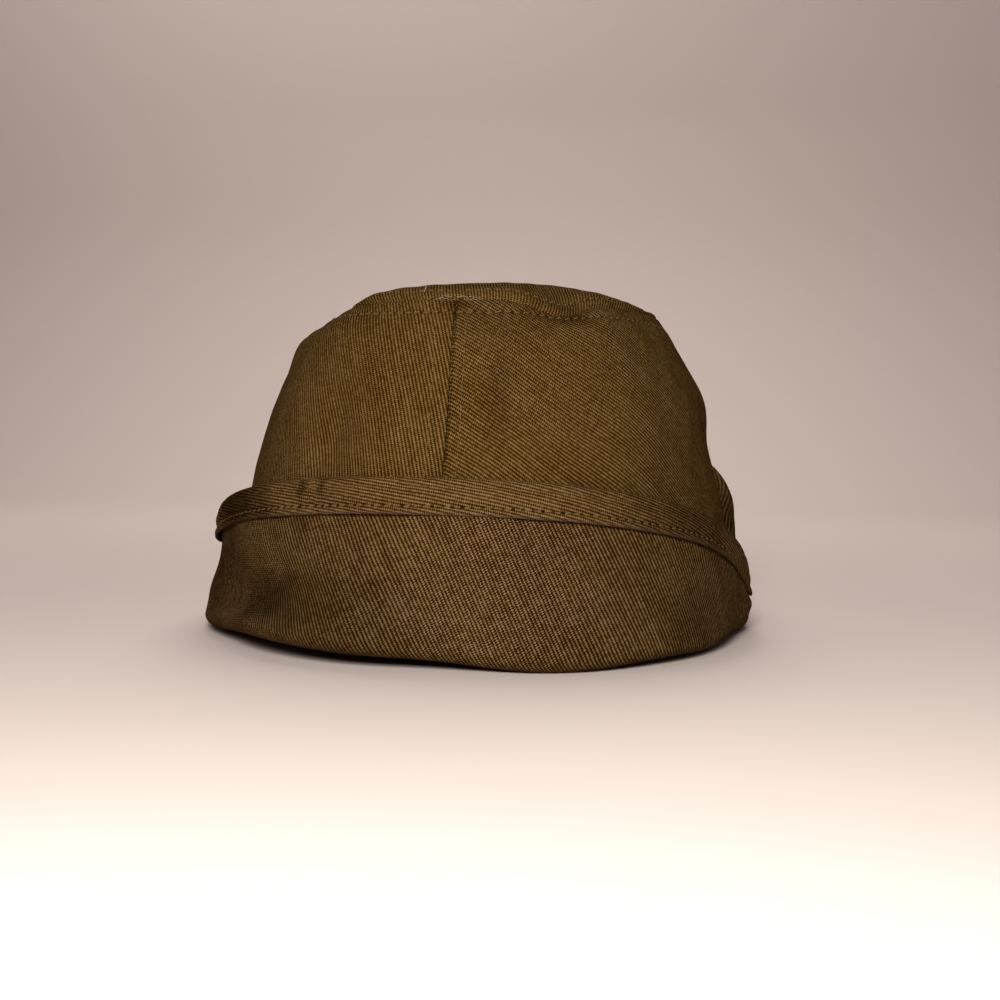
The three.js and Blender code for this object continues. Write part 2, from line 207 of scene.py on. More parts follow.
def normals_of(grid, loop):
    """Unit normals of a grid of points: the cross product of its differences along rows and along columns."""
    wide = np.concatenate([grid[-1:], grid, grid[:1]]) if loop else grid
    down_rows = np.gradient(wide, axis=0)
    down_rows = down_rows[1:-1] if loop else down_rows
    return unit(np.cross(down_rows, np.gradient(grid, axis=1)))


def lengths(grid, axis):
    """Running length along one axis of a grid of points, from zero."""
    step = np.linalg.norm(np.diff(grid, axis=axis), axis=-1)
    pad = [(0, 0), (0, 0)]
    pad[axis] = (1, 0)
    return np.pad(np.cumsum(step, axis=axis), pad)


def ripple(u, v, wave, seed):
    """Soft unevenness of about unit height: seven plane sine waves of near-equal length in seeded random directions."""
    rng = np.random.default_rng(seed)
    total = 0.0
    for turn, phase, stretch in zip(rng.uniform(0, np.pi, 7), rng.uniform(0, 2 * np.pi, 7), rng.uniform(0.7, 1.4, 7)):
        total = total + np.sin(2 * np.pi * (u * np.cos(turn) + v * np.sin(turn)) / (wave * stretch) + phase)
    return total / 3.5


def half_round(middle, normal, edge, radius):
    """Three points of the half circle that turns from the face over a cloth's edge to its back."""
    bend = np.radians(HALF_ROUND)[None, :, None]
    return middle[:, None] + radius[:, None, None] * (normal[:, None] * np.cos(bend) + edge[:, None] * np.sin(bend))


def grid_faces(rows, columns, number):
    """Corners of the four-sided faces of a grid: a point, the next row's, the one beyond both, and the next column's,
    each numbered by the rule given."""
    i, j = np.meshgrid(np.arange(rows), np.arange(columns), indexing="ij")
    return np.stack([number(a, b) for a, b in ((i, j), (i + 1, j), (i + 1, j + 1), (i, j + 1))], -1).reshape(-1, 4)


def sewn_on(name, points, faces, maps, material):
    """One piece of the cap, riding on it: points in millimetres, smooth faces, maps given corner by corner."""
    mesh = bpy.data.meshes.new(name)
    mesh.from_pydata(metres(points.reshape(-1, 3)).tolist(), [], faces)
    for title, corners in maps.items():
        mesh.uv_layers.new(name=title).data.foreach_set("uv", corners.ravel().astype(np.float32))
    mesh.polygons.foreach_set("use_smooth", np.ones(len(mesh.polygons), bool))
    mesh.materials.append(material)
    mesh.update()
    piece = bpy.data.objects.new(name, mesh)
    bpy.context.scene.collection.objects.link(piece)
    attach(piece, "root")
    return piece


def cloth(name, face, wall, across, up, material, loop=False, run=None):
    """A cloth wall as one closed mesh from a grid on its outer face: its back lies a wall's thickness behind along the
    normals, and both long edges are half rounds. The weave map is in millimetres, across the grid's rows and up the
    face, over the edge and down the back; the map called run holds a row of stitches' own count and the distance from
    the seam it follows. A loop's maps have one row more than its points."""
    rows, columns = face.shape[:2]
    wall = np.broadcast_to(wall, (rows, columns))
    normal = normals_of(face, loop)
    edge = unit(np.gradient(face, axis=1))
    middle = face - normal * wall[..., None] / 2
    section = np.concatenate([
        face,
        half_round(middle[:, -1], normal[:, -1], edge[:, -1], wall[:, -1] / 2),
        (face - normal * wall[..., None])[:, ::-1],
        half_round(middle[:, 0], -normal[:, 0], -edge[:, 0], wall[:, 0] / 2),
    ], axis=1)
    around = section.shape[1]
    spread = lambda grid: np.concatenate(
        [grid, np.repeat(grid[:, -1:], 3, 1), grid[:, ::-1], np.repeat(grid[:, :1], 4, 1)], axis=1)
    over = np.broadcast_to(np.mean(wall[:, -1]) / 2 * np.radians([*HALF_ROUND, 180.0]), (len(up), 4))
    back = up[:, -1:] + over[:, -1:] + up[:, -1:] - up[:, ::-1]
    rising = np.concatenate([up, up[:, -1:] + over[:, :3], back, back[:, -1:] + over], axis=1)
    turns = rows if loop else rows - 1
    faces = grid_faces(turns, around, lambda a, b: (a % rows) * around + b % around).tolist()
    marks = grid_faces(turns, around, lambda a, b: a * (around + 1) + b).ravel()
    if not loop:
        k = np.arange(columns - 1)
        strip = np.stack([k, k + 1, 2 * columns + 1 - k, 2 * columns + 2 - k], -1)
        low = np.array([0, 2 * columns + 2, 2 * columns + 3, 2 * columns + 4, 2 * columns + 5])
        high = np.arange(columns - 1, columns + 4)
        for end, order in ((0, 1), (rows - 1, -1)):
            shapes = strip[:, ::order], low[None, ::order], high[None, ::order]
            faces += [corners for shape in shapes for corners in (end * around + shape).tolist()]
            marks = np.concatenate([marks, *(end * (around + 1) + shape.ravel() for shape in shapes)])
    maps = {title: np.stack(pair, -1).reshape(-1, 2)[marks]
            for title, pair in (("weave", (spread(across), rising)), ("run", (spread(run[0]), spread(run[1]))))}
    return sewn_on(name, section, faces, maps, material)


def blank_material(name):
    """A material without nodes, and a maker of nodes for it: each call adds a node of a kind with its settings, and
    sets or links its sockets, first those given in order and then those given by name."""
    made = bpy.data.materials.new(name)
    made.use_nodes = True
    tree = made.node_tree
    tree.nodes.clear()

    def node(kind, *sources, named={}, **settings):
        added = tree.nodes.new(kind)
        for key, setting in settings.items():
            setattr(added, key, setting)
        for socket, source in [*zip(added.inputs, sources), *((added.inputs[key], named[key]) for key in named)]:
            if isinstance(source, bpy.types.NodeSocket):
                tree.links.new(source, socket)
            elif source is not None:
                socket.default_value = source
        return added

    return made, node


def colour_ramp(node, share, *stops):
    """Colours between stops, each a place and a colour, with the first at zero and the last at one."""
    ramp = node("ShaderNodeValToRGB", share)
    for at, colour in stops[1:-1]:
        ramp.color_ramp.elements.new(at)
    for element, (at, colour) in zip(ramp.color_ramp.elements, stops):
        element.color = (*colour, 1)
    return ramp.outputs[0]


def shaded(node, colour, roughness, specular, height=None, strength=None, depth=None):
    """The end of a material: its shader, with bump from a height where there is one, of a strength and depth."""
    bump = {"Strength": strength, "Distance": depth, "Height": height}
    normal = None if height is None else node("ShaderNodeBump", named=bump).outputs[0]
    look = {"Base Color": colour, "Roughness": roughness, "Specular IOR Level": specular, "Normal": normal}
    node("ShaderNodeOutputMaterial", node("ShaderNodeBsdfPrincipled", named=look).outputs[0])


def twill(name, angle, mid, wale, pick, contrast=1.0, seam_row=0.0, lip_sheen=0.0, painted_shade=(), holes=0.95):
    """Cotton twill from the weave map: parallel ridges at an angle, with dark furrows broken into dots by the cross
    threads, each ridge wandering a little. The dots and ridges drive both colour and bump. Near a row of stitches the
    needle holes are dark with painted shade, spaced by the run map, and a folded edge can be greyed by painted sheen
    over its last millimetre.
    Each place of painted shade darkens the cloth in a soft ellipsoid, standing in for the shade in folds, hollows,
    creases and gaps: its centre in metres, its three half-widths in millimetres and its strength."""
    made, node = blank_material(name)

    def maths(operation, a, b=0.0, c=0.0):
        return node("ShaderNodeMath", a, b, c, operation=operation).outputs[0]

    def added(start, *parts):
        for part, amount in parts:
            start = maths("MULTIPLY_ADD", part, amount, start)
        return start

    def noise(vector, scale, detail=2.0):
        cloudy = node("ShaderNodeTexNoise", vector, named={"Scale": scale, "Detail": detail}, noise_dimensions="3D")
        return maths("SUBTRACT", cloudy.outputs["Fac"], 0.5)

    def by_count(count):
        return node("ShaderNodeTexWhiteNoise", named={"W": count}, noise_dimensions="1D").outputs["Value"]

    def wave(turns):
        return maths("COSINE", maths("MULTIPLY", turns, 2 * np.pi))

    def fade(distance, near, far, amount=1.0):
        return node("ShaderNodeMapRange", distance, near, far, amount, 0.0, interpolation_type="SMOOTHSTEP").outputs[0]

    def tinted(share, under, over):
        return node("ShaderNodeMix", share, *[None] * 5, under, (*over, 1), data_type="RGBA").outputs[2]

    weave = node("ShaderNodeUVMap", uv_map="weave").outputs[0]
    run = node("ShaderNodeUVMap", uv_map="run").outputs[0]
    place = node("ShaderNodeTexCoord").outputs["Object"]
    turned = node("ShaderNodeVectorRotate", weave, named={"Angle": np.radians(-angle)}, rotation_type="Z_AXIS")
    split = node("ShaderNodeSeparateXYZ", turned.outputs[0])
    drift = maths("ADD", maths("MULTIPLY", noise(weave, 0.03, 1.0), 0.8), maths("MULTIPLY", noise(weave, 0.35), 0.2))
    ridge = maths("ADD", maths("DIVIDE", split.outputs[1], wale), drift)
    ridge_up = maths("MULTIPLY_ADD", wave(ridge), 0.5, 0.5)
    ridge_count = maths("FLOOR", maths("ADD", ridge, 0.5))
    picks = maths("ADD", maths("DIVIDE", split.outputs[0], pick), maths("MULTIPLY", noise(weave, 0.5, 1.0), 0.9))
    hole = maths("MULTIPLY_ADD", wave(maths("ADD", picks, maths("MULTIPLY", maths("FLOOR", ridge), 0.07))), 0.5, 0.5)
    furrow = maths("POWER", maths("SUBTRACT", 1.0, ridge_up), 1.2)
    dark = maths("MULTIPLY", furrow, maths("MULTIPLY_ADD", hole, 0.86, 0.18))
    knuckle = maths("MULTIPLY", wave(maths("ADD", picks, maths("MULTIPLY", ridge, 0.5))), ridge_up)
    cell = node("ShaderNodeCombineXYZ", ridge_count, maths("FLOOR", picks)).outputs[0]
    grain = node("ShaderNodeTexWhiteNoise", cell, noise_dimensions="2D").outputs["Value"]
    patch = noise(place, 26.0, 3.0)
    cloud = noise(place, 90.0)
    fuzz = noise(weave, 2.6)

    tone = added(maths("MULTIPLY_ADD", dark, -0.95 * contrast, 0.47 + 0.25 * contrast),
                 (knuckle, 0.22 * contrast), (maths("SUBTRACT", grain, 0.5), 0.20 * contrast),
                 (maths("SUBTRACT", by_count(ridge_count), 0.5), 0.07), (fuzz, 0.55), (cloud, 0.12), (patch, 0.20))
    colour = colour_ramp(node, tone, (0, TWILL_DARK), (0.24, TWILL_DEEP), (0.47, mid), (1, TWILL_LIGHT))
    # Painted shade: each place mixes the colour towards the darkest twill colour.
    for centre, spread, amount in painted_shade:
        off = node("ShaderNodeVectorMath", place, tuple(centre), operation="SUBTRACT").outputs[0]
        away = node("ShaderNodeVectorMath", off, tuple(np.array(spread) / 1000.0), operation="DIVIDE").outputs[0]
        reach = node("ShaderNodeVectorMath", away, operation="LENGTH").outputs["Value"]
        colour = tinted(fade(maths("ADD", reach, maths("MULTIPLY", cloud, 0.6)), 0.15, 1.0, amount), colour, TWILL_DARK)

    height = added(maths("MULTIPLY", dark, -0.45), (ridge_up, 0.75), (knuckle, 0.16), (fuzz, 0.5))
    if seam_row:
        lane = node("ShaderNodeSeparateXYZ", run)
        near_row = fade(maths("ABSOLUTE", maths("SUBTRACT", lane.outputs[1], seam_row)), *NEEDLE_HOLE["aside"])
        off_hole = maths("ABSOLUTE", maths("SUBTRACT", maths("FRACT", lane.outputs[0]), 0.5))
        near_hole = fade(off_hole, *NEEDLE_HOLE["ahead"])
        pulled = maths("MULTIPLY_ADD", by_count(maths("FLOOR", lane.outputs[0])), 0.6, 0.4)
        # Painted shade in the needle holes: the pits are too small for the mesh, so their dark is mixed into the colour
        # as well as sunk into the bump.
        pit = maths("MULTIPLY", maths("MULTIPLY", near_row, near_hole), pulled)
        colour = tinted(maths("MULTIPLY", pit, holes), colour, TWILL_DARK)
        height = added(height, (pit, -NEEDLE_HOLE["depth"]))
        # Painted sheen along a folded lip: the colour greys towards the lip's edge over its last 0.6 mm.
        lip_distance = maths("ADD", lane.outputs[1], maths("MULTIPLY", fuzz, 1.6))
        colour = tinted(fade(lip_distance, 0.0, 0.6, lip_sheen), colour, LIP_SHEEN_GREY)
    shaded(node, colour, maths("MULTIPLY_ADD", dark, 0.08, 0.86), 0.0, height, **TWILL_BUMP)
    return made


def column_at(grid, distance, wanted):
    """The line across a grid at a wanted distance along its columns: each row's two neighbouring points, mixed."""
    j = np.clip((distance < wanted).sum(1) - 1, 0, grid.shape[1] - 2)
    i = np.arange(len(grid))
    f = ((wanted - distance[i, j]) / np.maximum(distance[i, j + 1] - distance[i, j], 1e-6))[:, None]
    return grid[i, j] * (1 - f) + grid[i, j + 1] * f


def closed(line):
    """A line or grid with its first row again at its end."""
    return np.concatenate([line, line[:1]])


def stitch_count(line, loop=False):
    """How many stitches lie before each point of a line, at about the thread's step, with a whole number in all."""
    run = np.cumsum(np.linalg.norm(np.diff(closed(line) if loop else line, axis=0), axis=1))
    return np.concatenate([[0.0], run]) * (round(run[-1] / THREAD_STEP) / run[-1])


def crown_panel(side, seed):
    """One side panel between its back and front seams: the crown's outer face on a grid, raised and pressed along its
    normals by the seam's tucked edge, the grooves of the stitch rows, puckers and soft unevenness. The left panel runs
    on over the right one by the lap, and the back seam leans aside towards the foot. The top stitches follow the seam
    but keep straight under the sag. The weave is that of the flat panel, a piece of a ring: each point lies at its
    height in from the ring's radius and at its own turn about the ring's middle."""
    turn = np.linspace(0.0, 1.0, PANEL_COLUMNS)
    turn = turn - PANEL_CROWDING * np.sin(2 * np.pi * turn) / (2 * np.pi)
    azimuth = (turn * 180 if side == "right" else turn * (180 + 2 * LAP) - 180 - LAP)[:, None]
    level = 1 - (1 - np.linspace(0, 1, PANEL_ROWS)) ** 1.15
    azimuth, level = np.broadcast_arrays(azimuth, level[None, :])
    skew = SEAM_SKEW["top"] + (SEAM_SKEW["foot"] - SEAM_SKEW["top"]) * (1 - level) ** 3
    grid = crown_at(azimuth + skew * bell(azimuth, SEAM_SKEW["across"]), level)
    normal = normals_of(grid, False)
    across = lengths(grid, 0)
    across = across if side == "right" else across - across[-1:]
    up = lengths(grid, 1)
    below_top = up[:, -1:] - up
    sag = bell(apart(azimuth, SEAM_SAG["azimuth"]), CROWN_ROW["across"])
    from_row = below_top - CROWN_ROW["below"] + CROWN_ROW["rise"] * sag
    from_back = np.abs(across)
    from_front = np.abs(across[-1:] - across) if side == "right" else np.abs(across - across[:1])
    count = stitch_count(column_at(grid[:, ::-1], from_row[:, ::-1], 0.0))
    relief = (-1.3 * bell(below_top, 0.9) + 0.3 * bell(below_top - 2.1, 1.2) - 0.36 * bell(from_row, 0.6)
              + 0.22 * ripple(across, 0 * up, 7.0, seed) * bell(from_row - 1.8, 5.0)
              + 0.42 * ripple(across, up, 46.0, seed + 1) + 0.12 * ripple(across, up, 13.0, seed + 2))
    wall = CLOTH_WALL + 0 * relief
    for beside in (from_back, from_front):
        if side == "left":
            relief = (relief + 0.7 * bell(beside, 4.5) - 0.35 * bell(beside, 0.3)
                      + 0.12 * ripple(up, 0 * up, 6.0, seed + 3) * bell(beside, 2.0))
            wall = wall - (CLOTH_WALL - LAP_WALL) * bell(beside, 3.0)
        else:
            relief = (relief - 0.4 * bell(beside - 0.6, 1.0) - 1.4 * bell(beside - 1.75, 0.32)
                      + 0.2 * bell(beside - 3.2, 0.9) - 0.22 * bell(beside - SEAM_ROW - 1.2, 0.6))
    radius = CROWN_CURVE[side] - up
    whole = np.abs(across).max(0, keepdims=True)
    turned = across / radius * (1 + (CROWN_TURN[side] * radius / whole - 1) * (across / whole) ** 2)
    weave = radius * np.sin(turned), CROWN_CURVE[side] - radius * np.cos(turned)
    return grid + normal * relief[..., None], across, weave, wall, count, from_row


def places(rows, surface):
    """Places of painted shade from rows of azimuth, share of the way up, half-widths and strength: each row's
    centre is its point of a surface, in metres."""
    return [(metres(surface(np.array(float(azimuth)), np.array(at))), spread, amount)
            for azimuth, at, spread, amount in rows]


# Painted shade: a dark spot in the gap under the frayed ends where the back seam meets the top panel.
TOP_CORNER_PAINTED_SHADE = (0.5, 0.975, (7, 7, 2.4), 0.45)
# Painted shade on the right panel: under the sagging top seam, along the fold beside the back seam, and a broad patch
# below the seam.
CROWN_PAINTED_SHADE = dict(left=[TOP_CORNER_PAINTED_SHADE], right=[
    (26, 0.985, (15, 12, 5), 0.48),
    (9.5, 0.74, (8, 10, 22), 0.24),
    (10, 0.93, (26, 14, 14), 0.20),
    TOP_CORNER_PAINTED_SHADE,
])
panels = {}
for side, seed in (("left", 11), ("right", 23)):
    grid, across, weave, wall, count, from_row = crown_panel(side, seed)
    panels[side] = grid, across, count, from_row
    material = twill(f"crown_{side}_twill", CROWN_ANGLE[side], CROWN_BROWN, CROWN_WALE, CROWN_PICK, CROWN_CONTRAST,
                     CROWN_ROW["below"], painted_shade=places(CROWN_PAINTED_SHADE[side], crown_at), holes=CROWN_HOLES)
    panel = cloth(f"crown_{side}_panel", grid, wall, *weave, material,
                  run=(np.broadcast_to(count[:, None], from_row.shape), from_row + CROWN_ROW["below"]))
    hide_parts(f"crown_{side}")


# The top panel: an oval of the same twill with its warp running front to back. Its edge is folded under and laps over
# the side panels, held by a row of stitches 4 mm in; where the seam sags, the edge hangs over a hollow.
TOP = dict(x=16, y=2, z=118, slope_x=-0.01, slope_y=0.06, dome=5.4)
TOP_TURNS = 460
TOP_RINGS = 80
TOP_ANGLE = -83.0
TOP_WALE = 0.97
TOP_HOLES = 0.5
# Painted light: a little lighter and more saturated than the side panels' brown, to brighten the top, which catches the
# light at a grazing angle.
TOP_BROWN = (0.0590, 0.0285, 0.0018)
OVERHANG = 1.3
ROLL = 1.8
ROLL_AT_SIDES = 0.25
FAR_FROM_SEAM = 60.0
# Painted shade on the top panel's rolled edge where the seam sags and overhangs.
TOP_PAINTED_SHADE = [(24.5, 0.97, (17, 9, 5), 0.32)]


def top_at(azimuth, share):
    """The top panel from its seam (share 1) to its middle (share 0): the seam's waves fade out with the cube of the
    share into a sloping plane with a shallow dome."""
    seam = crown_at(azimuth, np.ones_like(azimuth))
    x = TOP["x"] + (seam[..., 0] - TOP["x"]) * share
    y = TOP["y"] + (seam[..., 1] - TOP["y"]) * share
    plane = lambda px, py: TOP["z"] + (px - TOP["x"]) * TOP["slope_x"] + (py - TOP["y"]) * TOP["slope_y"]
    wave = (seam[..., 2] - plane(seam[..., 0], seam[..., 1])) * share ** 3
    return np.stack([x, y, plane(x, y) + wave + TOP["dome"] * (1 - share ** 2)], -1)


def top_panel():
    """The top panel's face: the dome with a rolled edge, proud at the back and front and flatter at the sides, the
    stitch row's groove, puckers and unevenness. Its weave map has each point's reach from the middle over the face."""
    azimuth = (np.arange(TOP_TURNS) * 360.0 / TOP_TURNS)[:, None]
    share = 1 - np.linspace(0, 1, TOP_RINGS) ** 1.25 * 0.996
    azimuth, share = np.broadcast_arrays(azimuth, share[None, :])
    grid = top_at(azimuth, share)
    normal = normals_of(grid, True)
    inward = lengths(grid, 1)
    count = stitch_count(column_at(grid, inward, SEAM_ROW), loop=True)
    run = count[:-1, None] * THREAD_STEP
    sagging = bell(apart(azimuth, SEAM_SAG["azimuth"]), 9.0)
    roll = ROLL * (1 - (1 - ROLL_AT_SIDES) * np.sin(np.radians(azimuth)) ** 6)
    relief = (0.55 * bell(inward - 1.6, 1.8) - 0.75 * bell(inward, 0.6) - 0.42 * bell(inward - SEAM_ROW, 0.7)
              + roll * (1 - bell(inward, 3.2)) * share ** 2
              + 0.25 * ripple(run + 0 * inward, 0 * inward, 8.0, 41) * bell(inward - 6.5, 4.5)
              + 0.5 * ripple(grid[..., 0], grid[..., 1], 40.0, 42) * np.clip(share * 4, 0, 1)
              + 0.14 * ripple(grid[..., 0], grid[..., 1], 12.0, 43) * np.clip(share * 4, 0, 1))
    out = outward(azimuth)
    spoke = unit(grid[:, 0, :2] - grid[:, -1, :2])
    grid = grid + normal * relief[..., None] + out * ((0.35 + OVERHANG * sagging) * bell(inward, 3.0))[..., None]
    reach = lengths(grid, 1)
    return grid, inward, count, spoke, reach[:, -1:] - reach


top_grid, top_inward, top_count, top_spoke, top_reach = top_panel()
top_twill = twill("crown_top_twill", TOP_ANGLE, TOP_BROWN, TOP_WALE, CROWN_PICK, CROWN_CONTRAST, SEAM_ROW,
                  painted_shade=places(TOP_PAINTED_SHADE, top_at), holes=TOP_HOLES)


def oval_cloth(name, face, wall, spoke, reach, material, run):
    """A cloth oval as one closed mesh from rings of points on its face: the rings of the back lie a wall's thickness
    below, a half round closes the edge, and one point closes the middle of each face. The weave map sets each point
    on its spoke at its reach from the middle, running on round the edge."""
    rows = len(face)
    normal = normals_of(face, True)
    edge = unit(np.gradient(face, axis=1))
    middle = face - normal * wall / 2
    section = np.concatenate([
        (face - normal * wall)[:, ::-1],
        half_round(middle[:, 0], -normal[:, 0], -edge[:, 0], np.full(rows, wall / 2)),
        face,
    ], axis=1)
    around = section.shape[1]
    points = np.concatenate([section.reshape(-1, 3), [section[:, 0].mean(0), section[:, -1].mean(0)]])
    quads = grid_faces(rows, around - 1, lambda a, b: (a % rows) * around + b)
    turn = np.arange(rows)
    after = (turn + 1) % rows
    ends = np.concatenate([
        np.stack([after * around, turn * around, np.full(rows, rows * around)], -1),
        np.stack([turn * around + around - 1, after * around + around - 1, np.full(rows, rows * around + 1)], -1),
    ])
    order = np.concatenate([quads.ravel(), ends.ravel()])
    spread = lambda grid: np.concatenate([grid[:, ::-1], np.repeat(grid[:, :1], 3, 1), grid], axis=1)
    lanes = np.stack([np.append(spread(grid).ravel(), [0.0, FAR_FROM_SEAM]) for grid in run], -1)
    round_edge = reach[:, :1] + wall / 2 * np.radians(HALF_ROUND[::-1])
    weave = spoke[:, None] * np.concatenate([reach[:, ::-1], round_edge, reach], axis=1)[..., None]
    weave = np.concatenate([weave.reshape(-1, 2), np.zeros((2, 2))])
    return sewn_on(name, points, quads.tolist() + ends.tolist(), {"weave": weave[order], "run": lanes[order]}, material)


top_piece = oval_cloth("crown_top_panel", top_grid, CLOTH_WALL, top_spoke, top_reach, top_twill,
                       (np.broadcast_to(top_count[:-1, None], top_inward.shape), top_inward))
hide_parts("crown_top")


# The flap: a broad double-ply strip of the same twill, sewn to the crown's foot and turned up all round. It rolls
# softly at the bottom, stands off the crown at the sides and droops on the right. A hollow is pressed in at the left.
FLAP_COLUMNS = ("azimuth", "height", "gap", "reach", "waist", "flare")
FLAP = [dict(zip(FLAP_COLUMNS, row)) for row in (
    (-180, 54, 2.6, 12, 0, 0.4),
    (-130, 52, 4, 12, 0.5, 0.4),
    (-95, 36.4, 8, 13.3, 1.4, 3),
    (-70, 41.2, 7.2, 11.6, 2.4, 1.6),
    (-50, 47.8, 5, 10, 2.4, 0.6),
    (-30, 52.5, 3.2, 13.8, 0, 0.4),
    (0, 54.5, 2.6, 11, -1, 0.4),
    (30, 50.8, 2.6, 14.5, -1, 0.4),
    (55, 41, 3.4, 10.6, 0, 0.4),
    (70, 30.8, 4.8, 8.7, 0.2, 0),
    (82, 22.8, 4.6, 10.4, -0.9, 0),
    (90, 21, 3.6, 11.6, -1, 0.2),
    (98.5, 25.5, 2.6, 11.2, -1, 0.4),
    (105, 38, 2.6, 10.8, -1, 0.4),
    (110, 48, 5.8, 10.8, -1, 0.4),
    (115, 54.5, 5.8, 10.8, -1, 0.4),
    (127, 57, 4.8, 11, -0.6, 0.4),
    (145, 55, 2.6, 12, 0, 0.4),
)]
FLAP_FOLDS = [
    dict(azimuth=-37, up=0.22, across=16, tall=0.24, depth=7.0),
    dict(azimuth=-17, up=0.72, across=6, tall=0.16, depth=1.0),
    dict(azimuth=-88, up=0.27, across=20, tall=0.28, depth=-3.2),
    dict(azimuth=85, up=0.28, across=12, tall=0.18, depth=-1.2),
]
FOLD_RADIUS = 4.5
RIM_DROP = 0.5
FLAP_TURNS = 560
FLAP_ANGLE = -63.0
FLAP_WALE = 1.15
FLAP_PICK = 0.70
FLAP_CONTRAST = 1.15
FLAP_BROWN = (0.0335, 0.0137, 0.0004)


def level_at_height(height):
    """The level at which the crown's back is that high, read back from its curve."""
    level = np.linspace(0, 1, 400)
    return np.interp(height, along(CROWN, "level", "z_back", level), level)


def flap_at(azimuth, up, folds=FLAP_FOLDS):
    """Outer face of the flap's wall, from the top of its bottom fold (up 0) to its top edge (up 1): a slightly bowed
    line from the fold's reach to the top edge's gap, drawn in by the waist and by the folds' bells."""
    at = {name: along(FLAP, "azimuth", name, azimuth, 360) for name in FLAP_COLUMNS[1:]}
    out = outward(azimuth)
    lean = np.clip(up, 0, None) ** 1.1
    pressed = at["waist"] * np.sin(np.pi * up)
    for fold in folds:
        aside = bell(apart(azimuth, fold["azimuth"]), fold["across"])
        pressed = pressed + fold["depth"] * aside * bell(up - fold["up"], fold["tall"])
    fold_edge = crown_at(azimuth, np.zeros_like(azimuth)) + out * at["reach"][..., None]
    rim = crown_at(azimuth, level_at_height(at["height"])) + out * (at["gap"] + CLOTH_WALL)[..., None]
    foot = lift_at(azimuth) + FOLD_RADIUS
    point = fold_edge + (rim - fold_edge) * lean[..., None] - out * pressed[..., None]
    point[..., 2] = foot + (at["height"] - RIM_DROP - foot) * up
    return point


def flap_section(azimuth, folds):
    """The flap's cloth in section at every azimuth: level under the crown's foot, a quarter circle round the fold, then
    up the wall."""
    out = outward(azimuth)
    lift = lift_at(azimuth)
    foot = crown_at(azimuth, 0 * azimuth) - out * CLOTH_WALL
    turn = flap_at(azimuth, 0 * azimuth, folds) - out * FOLD_RADIUS
    level_part = foot + (turn - foot) * np.linspace(0, 1, 6)[None, :, None]
    level_part[..., 2] = lift
    bend = np.radians(np.linspace(0, 90, 12)[None, 1:-1])
    quarter = turn + out * FOLD_RADIUS * np.sin(bend)[..., None]
    quarter[..., 2] = lift + FOLD_RADIUS - FOLD_RADIUS * np.cos(bend)
    wall = flap_at(*np.broadcast_arrays(azimuth, np.linspace(0, 1, 56)[None, :]), folds)
    return np.concatenate([level_part, quarter, wall], axis=1)


def flap_face():
    """The flap's face with soft unevenness along its normals that dies away on the level part, and the weave's own
    lengths, which are those of the strip before its folds were pressed in."""
    azimuth = (np.arange(FLAP_TURNS) * 360.0 / FLAP_TURNS - 180.0)[:, None]
    grid = flap_section(azimuth, FLAP_FOLDS)
    normal = normals_of(grid, True)
    plain = closed(flap_section(azimuth, []))
    across, up = lengths(plain, 0), lengths(plain, 1)
    height = up[:-1]
    a, b = 100 * np.sin(np.radians(azimuth)), 100 * np.cos(np.radians(azimuth))
    soft = 0.55 * ripple(a + 0.6 * height, b, 42.0, 51) + 0.16 * ripple(a + 0.5 * height, b - 0.4 * height, 14.0, 52)
    free = np.clip((height - height[:, 8:9]) / 10.0, 0, 1) * np.clip((height[:, -1:] - height) / 8.0, 0.15, 1)
    return grid + normal * (soft * free)[..., None], across - across[FLAP_TURNS // 2], up


flap_grid, flap_across, flap_up = flap_face()
# Painted shade on the flap: in the pressed hollow at the left, on its left side, under the band's creases, and towards
# the bottom fold in the middle and at the right.
FLAP_PAINTED_SHADE = [
    (-32, 0.17, (32, 30, 13), 0.60),
    (-58, 0.42, (26, 34, 22), 0.36),
    (-25.5, 0.78, (6, 14, 7), 0.35),
    (-16, 0.12, (44, 30, 20), 0.32),
    (44, 0.16, (22, 24, 14), 0.28),
]
flap_twill = twill("flap_twill", FLAP_ANGLE, FLAP_BROWN, FLAP_WALE, FLAP_PICK, FLAP_CONTRAST,
                   painted_shade=places(FLAP_PAINTED_SHADE, flap_at))
flap_run = np.zeros(flap_across.shape), np.full(flap_across.shape, FAR_FROM_SEAM)
flap_piece = cloth("flap_cloth", flap_grid, CLOTH_WALL, flap_across, flap_up, flap_twill, loop=True, run=flap_run)
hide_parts("flap")


# The facing band: a strip of the twill cut on the bias, folded over the flap's top edge and topstitched just above its
# lower edge. Its lower lip stands a little off the flap and throws a thin shadow.
BAND_WALL = 1.2
BAND_HEIGHT = 9.4
BAND_RISE = 1.0
BAND_INNER_LEG = 4.0
BAND_ROW = 2.3
BAND_ANGLE = -10.8
BAND_WALE = 1.07
BAND_PICK = 0.66
BAND_BROWN = (0.0680, 0.0325, 0.0070)
# Strength of the painted sheen on the band's lower lip.
BAND_LIP_SHEEN = 0.5
BAND_TURNS = 640
CREASE_LEAN = 0.4
BAND_CREASES = [
    dict(azimuth=-24.6, across=0.9, depth=0.7),
    dict(azimuth=-21.6, across=0.7, depth=0.6),
    dict(azimuth=-26.6, across=1.2, depth=-0.4),
]


